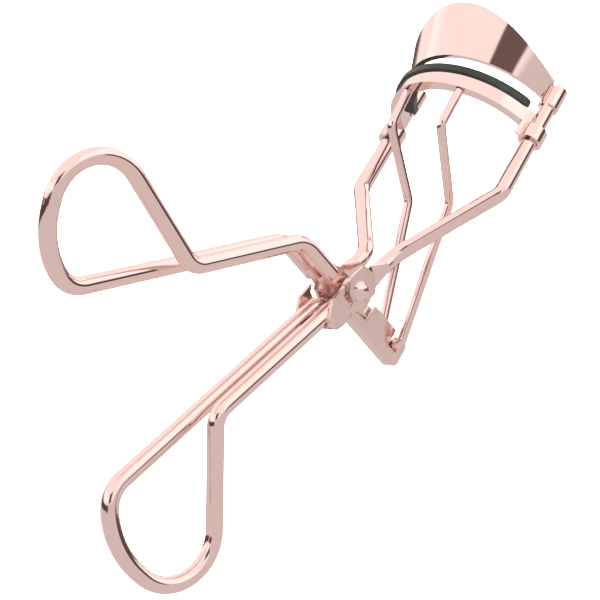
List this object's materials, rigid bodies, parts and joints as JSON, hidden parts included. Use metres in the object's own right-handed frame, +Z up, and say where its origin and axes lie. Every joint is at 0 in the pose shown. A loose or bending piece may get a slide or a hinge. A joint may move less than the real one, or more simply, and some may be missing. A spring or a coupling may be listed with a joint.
{
  "type": "eyelash curler",
  "caption": "Hand-held eyelash curler: wire frame with curved upper jaw, sliding lower jaw with rubber pad, sprung lever and two finger loops.",
  "frame": {"origin": "centre of the bounding box's base, on the surface the tool lies on", "axes": "+Z up from the surface, the tool lying on its side; +Y along the guide arms from the finger loops to the jaws, within 9 degrees; the jaws and both handles bulge towards -X"},
  "size_m": [0.0718, 0.1092, 0.0355],
  "materials": {
    "plated_wire": "polished rose-gold plating on steel wire",
    "plated_sheet": "polished rose-gold plating on stamped steel",
    "plated_spring": "plated spring wire",
    "pad_rubber": "smooth black silicone rubber"
  },
  "bodies": {
    "frame": {"upper_jaw": "plated_sheet", "guide_arm_left": "plated_wire", "guide_arm_right": "plated_wire", "frame_bracket": "plated_sheet", "fixed_handle": "plated_wire", "pivot_pin": "plated_wire", "torsion_spring": "plated_spring"},
    "lever": {"lever_plate": "plated_sheet", "moving_handle": "plated_wire"},
    "jaw_carriage": {"lower_jaw": "plated_sheet", "pad": "pad_rubber", "link_wire": "plated_wire"}
  },
  "joints": [
    {"name": "lever_pivot", "type": "hinge", "parent": "frame", "child": "lever", "pos_m": [0.01894, 0.00245, 0.01194], "axis": [-0.0992, -0.1435, 0.9847], "range_deg": [0, 9], "stiffness_Nm_per_rad": 0.25, "springref_deg": -11.46, "deforming": ["torsion_spring"]},
    {"name": "jaw_slide", "type": "slide", "parent": "frame", "child": "jaw_carriage", "axis": [-0.0144, 0.9897, 0.1428], "range_m": [0, 0.00215]}
  ],
  "couplings": [
    {"joint": "jaw_slide", "follows": "lever_pivot", "m_per_rad": 0.01355}
  ]
}
